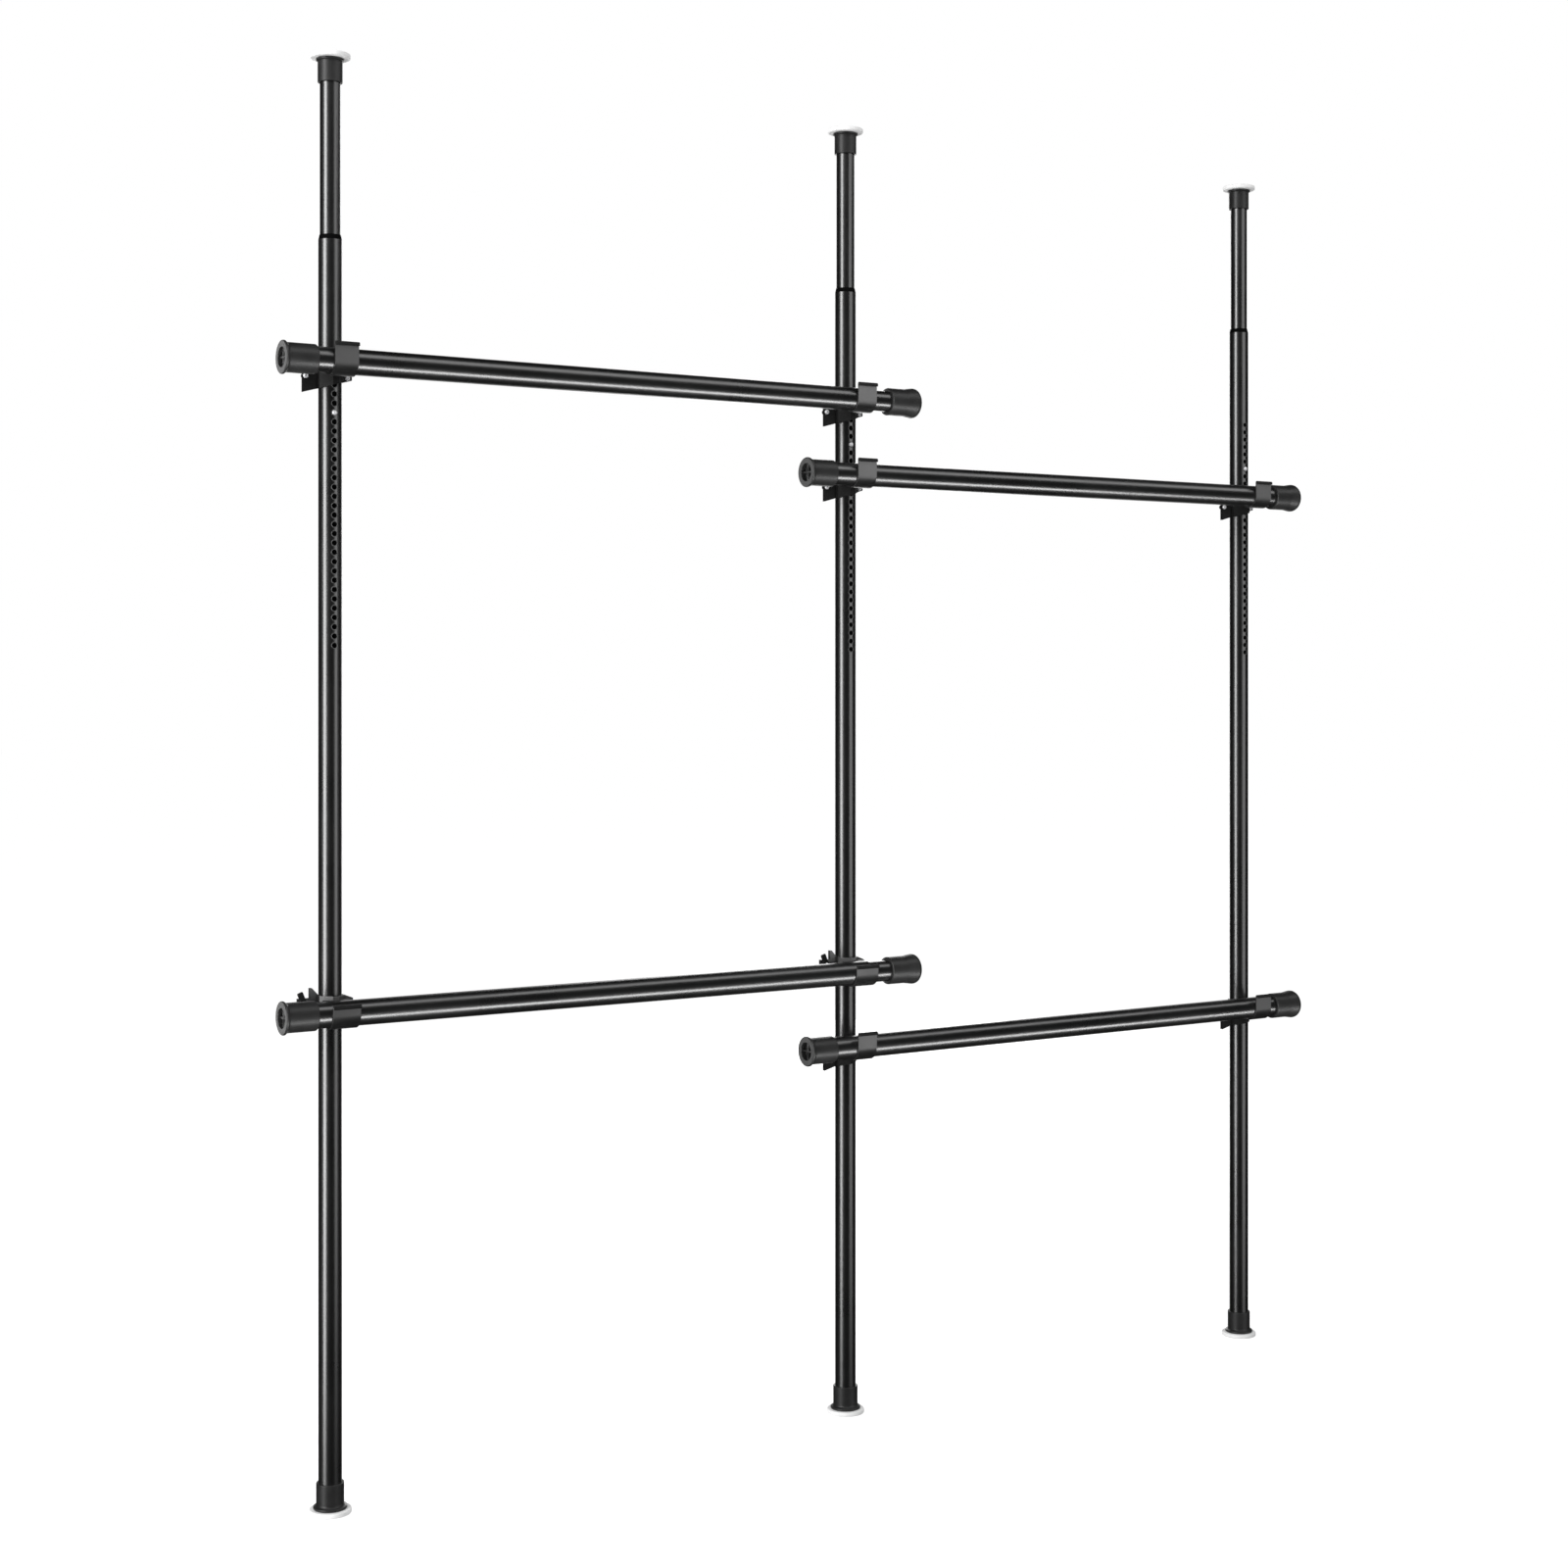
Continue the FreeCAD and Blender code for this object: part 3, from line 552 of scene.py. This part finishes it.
for rail in RAILS:
    for end, body, outline in (("left", f"rail_{rail}", rail_cap(**SHORT_CAP)),
                               ("right", f"inner_{rail}", rail_cap(**LONG_CAP))):
        node = f"rail_cap_{end}_{rail}"
        low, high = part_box(node)
        shell = bmesh.new()
        lathe(shell, outline)
        add_ribs(shell)
        along = math.pi / 2 if end == "left" else -math.pi / 2
        face = low.x if end == "left" else high.x
        place = Matrix.Translation((face, RAIL_AXIS[rail].y, RAIL_AXIS[rail].z))
        cap = shaped(f"rail_end_{end}_{rail}", shell, place @ Matrix.Rotation(along, 4, "Y"))
        settle(hardened(cap), "plastic", body, "black_plastic", node)
print("rail caps:", 2 * len(RAILS))

# %% [markdown]
# ## Pressed plates
# The hooks and clamps are 2.5 mm sheet, blanked and folded. A blanked edge is never razor sharp, and the thin
# line of light along it is what makes sheet look like sheet. The plates could be drawn again, but a merged
# copy of each CAD plate keeps every fold in place, and only needs a small bevel. The strap that goes round
# the rail is satin, and the clamp plates are dull. The hem takes the dull, darker coat as painted shade, for
# the shade under its fold. On the lower left rail, where the clamp plates stand above the rail, they are
# satin too.

# %% Hook plates and rear clamps
CARRIERS = {
    "upper_left": ("left", "mid"),
    "lower_left": ("left", "mid"),
    "upper_right": ("mid", "right"),
    "lower_right": ("mid", "right"),
}
OVER_RAIL = "lower_left"
WELD = 0.002 * MM
FLAT_ANGLE = math.radians(0.5)
SHEET_EDGE = 0.45
STRAP_BACK = -26.5 * MM
SHADED_HEM_BACK = -73.6 * MM


def merged_copy(node, name):
    """A copy of a CAD node whose loose triangles are joined, and joined to larger flat faces."""
    shell = bmesh.new()
    shell.from_mesh(frame["nodes"][node].data)
    bmesh.ops.remove_doubles(shell, verts=shell.verts, dist=WELD)
    bmesh.ops.dissolve_limit(shell, angle_limit=FLAT_ANGLE, verts=shell.verts, edges=shell.edges)
    mesh = bpy.data.meshes.new(name)
    shell.to_mesh(mesh)
    shell.free()
    mesh.shade_smooth()
    return placed(name, mesh)


for rail in RAILS:
    for side in CARRIERS[rail]:
        for kind, title in (("hook_plate", "hook"), ("rear_clamp", "clamp_back")):
            node = f"{kind}_{rail}_{side}"
            plate = hardened(merged_copy(node, f"{title}_{rail}_{side}"), SHEET_EDGE)
            settle(plate, "plate", f"brackets_{rail}", "painted_plate", node)
            plate.data.materials.append(FINISH["strap"])
            for face in plate.data.polygons:
                # satin on the strap; the hem keeps the darker dull coat as painted shade
                strap = SHADED_HEM_BACK < face.center.y < STRAP_BACK
                face.material_index = int(strap or (rail == OVER_RAIL and face.center.y > STRAP_BACK))
print("plates:", 4 * len(RAILS))

# %% [markdown]
# A bent strip of spring steel inside each upper tube pushes the snap button out through its hole.

# %% Leaf springs
SPRING_EDGE = 0.15
for side in SIDES:
    node = f"snap_spring_{side}"
    low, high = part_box(node)
    strip = hardened(merged_copy(node, f"leaf_spring_{side}"), SPRING_EDGE)
    settle(strip, "spring", f"upper_{side}", "bright_steel", node)
    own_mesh(strip)
    print(strip.name, "faces:", len(strip.data.polygons))

# %% [markdown]
# ## Rims of the punched holes
# Each lower tube has a column of 32 punched holes, and the punch leaves a small raised rim that catches the
# light. The rims are coloured lighter than the tube, partly for thin paint over the punched edge and partly
# as a painted highlight, as the bead is too thin to catch much light itself. A bevel on the tube's mesh would
# round the edge but not raise it, so the rims are rings of their own. What repeats is a job for Geometry
# Nodes: one ring is bent on to the tube's round front and set on a line of points.


# %% Geometry tree helpers
def node_tree(name, inputs):
    """A geometry node tree with named inputs, and a function that gives one of them as a flow."""
    tree = bpy.data.node_groups.new(name, "GeometryNodeTree")
    graph = Graph(tree)
    for title, kind in inputs.items():
        tree.interface.new_socket(title, in_out="INPUT", socket_type=f"NodeSocket{kind}")
    tree.interface.new_socket("Geometry", in_out="OUTPUT", socket_type="NodeSocketGeometry")
    return graph, lambda title: graph.node("NodeGroupInput", output=title)


def end_tree(graph, copies, material):
    """End a tree: the copies become real, get their material and leave."""
    solid = graph.node("GeometryNodeRealizeInstances", inputs={"Geometry": copies})
    painted = graph.node("GeometryNodeSetMaterial", inputs={"Geometry": solid, "Material": material})
    graph.node("NodeGroupOutput", inputs={"Geometry": painted})


def grown(name, tree, values, points=()):
    """Run a tree with these values on a mesh of loose points, and keep the result as a plain mesh."""
    mesh = bpy.data.meshes.new(name)
    mesh.from_pydata(points, [], [])
    piece = placed(name, mesh)
    nodes = piece.modifiers.new("nodes", "NODES")
    nodes.node_group = tree
    for socket in tree.interface.items_tree:
        if socket.name in values:
            nodes[socket.identifier] = values[socket.name]
    return plain(piece)


# %% The tree of one column of rims
RING_POINTS = 32
BEAD_POINTS = 8

graph, given = node_tree("punched_rims", {
    "Top": "Vector", "Step": "Vector", "Count": "Int", "Hole": "Float", "Bead": "Float", "Tube": "Float",
    "Finish": "Material"})
hole = graph.node("GeometryNodeCurvePrimitiveCircle", inputs={
    "Resolution": RING_POINTS, "Radius": given("Hole")})
bead = graph.node("GeometryNodeCurvePrimitiveCircle", inputs={
    "Resolution": BEAD_POINTS, "Radius": given("Bead")})
ring = graph.node("GeometryNodeCurveToMesh", inputs={"Curve": hole, "Profile Curve": bead})
upright_ring = graph.node("GeometryNodeTransform", inputs={
    "Geometry": ring, "Rotation": (math.pi / 2, 0, 0)})
across = graph.node("ShaderNodeSeparateXYZ", inputs={
    "Vector": graph.node("GeometryNodeInputPosition")}, output="X")
depth = graph.node("ShaderNodeMath", {"operation": "SQRT"}, {
    0: given("Tube") * given("Tube") - across * across})
bent = graph.node("GeometryNodeSetPosition", inputs={
    "Geometry": upright_ring, "Offset": graph.node("ShaderNodeCombineXYZ", inputs={"Y": 0 - depth})})
column = graph.node("GeometryNodeMeshLine", inputs={
    "Count": given("Count"), "Start Location": given("Top"), "Offset": given("Step")})
rims = graph.node("GeometryNodeInstanceOnPoints", inputs={"Points": column, "Instance": bent})
end_tree(graph, rims, given("Finish"))
RIM_TREE = graph.tree
print(RIM_TREE.name, "nodes:", len(RIM_TREE.nodes))

# %% Hole rims
TOP_HOLE = 1.866
HOLE_STEP = 0.015
HOLE_COUNT = 32
RIM_RADIUS = 5.0 * MM
RIM_BEAD = 0.65 * MM
RIM_BEND = 18.57 * MM
for side in SIDES:
    rims = grown(f"hole_rims_{side}", RIM_TREE, {
        "Top": (UPRIGHT_X[side], 0, TOP_HOLE), "Step": (0, 0, -HOLE_STEP), "Count": HOLE_COUNT,
        "Hole": RIM_RADIUS, "Bead": RIM_BEAD, "Tube": RIM_BEND, "Finish": FINISH["rim_enamel_with_highlight"]})
    rims.data.shade_smooth()
    settle(rims, "rim_enamel_with_highlight", "frame", "black_tube")
    print(rims.name, "faces:", len(rims.data.polygons))

# %% [markdown]
# ## Bolts and nuts
# Zinc-plated button-head bolts with a hexagon socket pull the two clamp plates together, mostly into plain
# hexagon nuts. The lower left rail's hooks stand the other way up, and there a black two-winged nut can be
# tightened by hand. A thread could be a bump in the finish, but as geometry it also shows in the outline and
# in the exported mesh. One master of each is built ring by ring, and Geometry Nodes set the masters on every
# clamp's points. All sizes here are millimetres.

# %% Rings
RING_STEPS = 36


def ring_of(shell, radius, height):
    """A ring of points whose radius is a number, or a function of the angle."""
    angles = [2 * math.pi * step / RING_STEPS for step in range(RING_STEPS)]
    sizes = [radius(angle) if callable(radius) else radius for angle in angles]
    return [shell.verts.new((size * math.cos(a), size * math.sin(a), height))
            for size, a in zip(sizes, angles)]


def hexagon(flats, limit=math.inf):
    """The radius of a hexagon by angle, from its size over the flats. A limit turns its corners off."""
    def radius(angle):
        return min(flats / 2 / math.cos((angle + math.pi / 6) % (math.pi / 3) - math.pi / 6), limit)
    return radius


# %% Bolt
SHORT_BOLT = 12.5
LONG_BOLT = 16.5
BOLT_RADIUS = 2.5
THREAD_PITCH = 0.8
THREAD_DEPTH = 0.4
THREAD_FROM = 6.0
RINGS_PER_PITCH = 4
TIP_LENGTH = 0.5
TIP_TAPER = 0.3
SOCKET_CENTRE = -1.4
# the socket from its floor to its mouth, as size over flats and height, and the head from there to its seat
SOCKET = ((3.0, -1.5), (3.0, -3.3), (3.4, -3.5))
HEAD = ((2.6, -3.45), (3.3, -3.1), (3.9, -2.5), (4.3, -1.7), (4.5, -0.9), (4.5, -0.25), (4.3, 0))


def thread(height):
    """The radius of the bolt's helical thread by angle, at a height."""
    def radius(angle):
        share = (height / THREAD_PITCH - angle / (2 * math.pi)) % 1
        return BOLT_RADIUS - THREAD_DEPTH * abs(2 * share - 1)
    return radius


def bolt_master(length):
    """A bolt along Z with its head under zero and a shank of this length."""
    shell = bmesh.new()
    rings = [[shell.verts.new((0, 0, SOCKET_CENTRE))]]
    rings += [ring_of(shell, hexagon(flats), height) for flats, height in SOCKET]
    rings += [ring_of(shell, radius, height) for radius, height in HEAD]
    rings += [ring_of(shell, BOLT_RADIUS, height) for height in (0, THREAD_FROM)]
    height = THREAD_FROM
    while height < length - TIP_LENGTH:
        height += THREAD_PITCH / RINGS_PER_PITCH
        rings.append(ring_of(shell, thread(height), height))
    rings.append(ring_of(shell, BOLT_RADIUS - THREAD_DEPTH - TIP_TAPER, length))
    rings.append([shell.verts.new((0, 0, length))])
    stacked(shell, rings)
    return hardened(shaped("bolt_master", shell, Matrix.Identity(4)))


short_bolt = bolt_master(SHORT_BOLT)
long_bolt = bolt_master(LONG_BOLT)
print("bolt faces:", len(short_bolt.data.polygons), "and", len(long_bolt.data.polygons))

# %% Hexagon nut
NUT_BORE = 2.6
NUT_FLATS = 8.0
NUT_HEIGHT = 4.0
NUT_MOUTH = 3.0
NUT_FACE = 4.05
NUT_CORNER = 4.7
MOUTH_DEPTH = 0.3
CORNER_DEPTH = 0.55


def hexagon_nut_master():
    """A hexagon nut with its corners turned off at both ends."""
    shell = bmesh.new()
    face = hexagon(NUT_FLATS, NUT_FACE)
    side = hexagon(NUT_FLATS, NUT_CORNER)
    rings = [ring_of(shell, radius, height) for radius, height in (
        (NUT_BORE, MOUTH_DEPTH), (NUT_MOUTH, 0), (face, 0), (side, CORNER_DEPTH),
        (side, NUT_HEIGHT - CORNER_DEPTH), (face, NUT_HEIGHT), (NUT_MOUTH, NUT_HEIGHT),
        (NUT_BORE, NUT_HEIGHT - MOUTH_DEPTH))]
    stacked(shell, rings + rings[:1])
    return hardened(shaped("hexagon_nut_master", shell, Matrix.Identity(4)))


hexagon_nut = hexagon_nut_master()
print("hexagon nut faces:", len(hexagon_nut.data.polygons))

# %% Thumb nut
WING_LEAN = 22
WING_REACH = 19.0
WING_HALF = 4.75
WING_CORNER = 1.5
CORNER_SHARE = 0.3
WING_EDGE = (12, 9, 6, 4, 2)
HUB_RADIUS = 6.0
# the hub's foot and the mouth above it as radius and height, and the wings between as inset and height
FOOT_RINGS = ((NUT_BORE, 0), (HUB_RADIUS - 0.5, 0), (HUB_RADIUS, 0.5), (HUB_RADIUS, 3.2))
WING_RINGS = ((0.8, 3.5), (0.2, 3.8), (0, 4.4), (0, 7.1), (0.2, 7.7), (0.8, 8))
MOUTH_RINGS = ((3.4, 8), (NUT_BORE, 7.5))


def wing_outline(inset):
    """The outline of the two wings, as points all round the hub."""
    reach = WING_REACH - inset
    half = WING_HALF - inset
    cut = WING_CORNER * CORNER_SHARE
    quarter = [(reach, 0), (reach, half - WING_CORNER), (reach - cut, half - cut),
               (reach - WING_CORNER, half)] + [(x, half) for x in WING_EDGE]
    right = [(x, -y) for x, y in quarter[:0:-1]] + quarter
    return right + [(0, half)] + [(-x, y) for x, y in reversed(right)] + [(0, -half)]


def thumb_nut_master(turn):
    """A two-winged nut, turned about its own axis."""
    shell = bmesh.new()
    outline = wing_outline(0)

    def round_ring(radius, height):
        return [shell.verts.new((*(Vector(point).normalized() * radius), height)) for point in outline]

    def wing_ring(inset, height):
        ring = []
        for point in wing_outline(inset):
            hub = Vector(point).normalized() * (HUB_RADIUS - inset)
            ring.append(shell.verts.new((*max(Vector(point), hub, key=lambda p: p.length), height)))
        return ring

    rings = [round_ring(*row) for row in FOOT_RINGS]
    rings += [wing_ring(*row) for row in WING_RINGS]
    rings += [round_ring(*row) for row in MOUTH_RINGS]
    stacked(shell, rings + rings[:1])
    return hardened(shaped("thumb_nut_master", shell, Matrix.Rotation(math.radians(turn), 4, "Z")))


thumb_nut = thumb_nut_master(90 + WING_LEAN)
print("thumb nut faces:", len(thumb_nut.data.polygons))

# %% The tree of one clamp's fasteners
graph, given = node_tree("fasteners", {
    "Points": "Geometry", "Master": "Object", "Turn": "Rotation", "Finish": "Material"})
master = graph.node("GeometryNodeObjectInfo", inputs={"Object": given("Master")}, output="Geometry")
copies = graph.node("GeometryNodeInstanceOnPoints", inputs={
    "Points": given("Points"), "Instance": master, "Rotation": given("Turn")})
end_tree(graph, copies, given("Finish"))
FASTENER_TREE = graph.tree
print(FASTENER_TREE.name, "nodes:", len(FASTENER_TREE.nodes))

# %% Fasteners on every clamp
EAR_FACE = 3.25 * MM
# the left and the right bolt of a clamp, as x from the upright and z from the rail
BELOW = ((-43.0, -20.5), (28.0, -20.5))
ABOVE = ((-48.0, 15.0), (30.0, 10.0))
FASTENER_SLOT = {"zinc": "bright_steel", "blackened": "painted_plate", "plastic": "black_plastic"}

for rail in RAILS:
    over = rail == OVER_RAIL
    forward = 1 if over else -1
    turn = (math.pi / 2 * forward, 0, 0)
    left, right = [[(UPRIGHT_X[side] + x * MM, RAIL_AXIS[rail].z + z * MM) for side in CARRIERS[rail]]
                   for x, z in (ABOVE if over else BELOW)]
    rows = [("bolts", long_bolt if over else short_bolt, "zinc", left + right, EAR_FACE * forward),
            ("hexagon_nuts", hexagon_nut, "blackened", right if over else left + right,
             -EAR_FACE * forward)]
    if over:
        rows.append(("thumb_nuts", thumb_nut, "plastic", left, -EAR_FACE * forward))
    for title, master, finish_name, places, y in rows:
        piece = grown(f"{title}_{rail}", FASTENER_TREE, {
            "Master": master, "Turn": turn, "Finish": FINISH[finish_name]}, [(x, y, z) for x, z in places])
        stands_for = [f"clamp_bolts_{rail}"] if title == "bolts" else []
        settle(piece, finish_name, f"brackets_{rail}", FASTENER_SLOT[finish_name], *stands_for)
        print(piece.name, "faces:", len(piece.data.polygons))
for master in (short_bolt, long_bolt, hexagon_nut, thumb_nut):
    bpy.data.objects.remove(master)

# %% [markdown]
# ## Which lamp lights what
# A photographer of black tube holds cards between lamp and object, so that the light for the uprights doesn't
# grey the rails. Light linking does the same: the left and the broad front lamp light the uprights and the
# plates on them, the left one also the rail caps, nuts, pads and floor, and the low lamp and the one at the
# left rear light the rails. The other two light everything.

# %% Light linking
STANDING = ("lower_tube", "upper_tube", "tube_collars", "hook", "clamp_back", "hole_rims", "foot_sleeve",
            "head_sleeve", "snap_button", "bolts")
RAIL_PIECES = ("rail_outer", "rail_inner", "rail_end")
RECEIVERS = {
    "left_strip": (*STANDING, "rail_end", "thumb_nuts", "hexagon_nuts", "ceiling_pad", "floor"),
    "right_front": STANDING,
    "rear_left": RAIL_PIECES,
    "low_front": RAIL_PIECES,
}
for lamp_name, kinds in RECEIVERS.items():
    group = bpy.data.collections.new(f"{lamp_name}_receivers")
    for piece in scene.objects:
        if piece.name.startswith(kinds):
            group.objects.link(piece)
    LAMPS[lamp_name].light_linking.receiver_collection = group
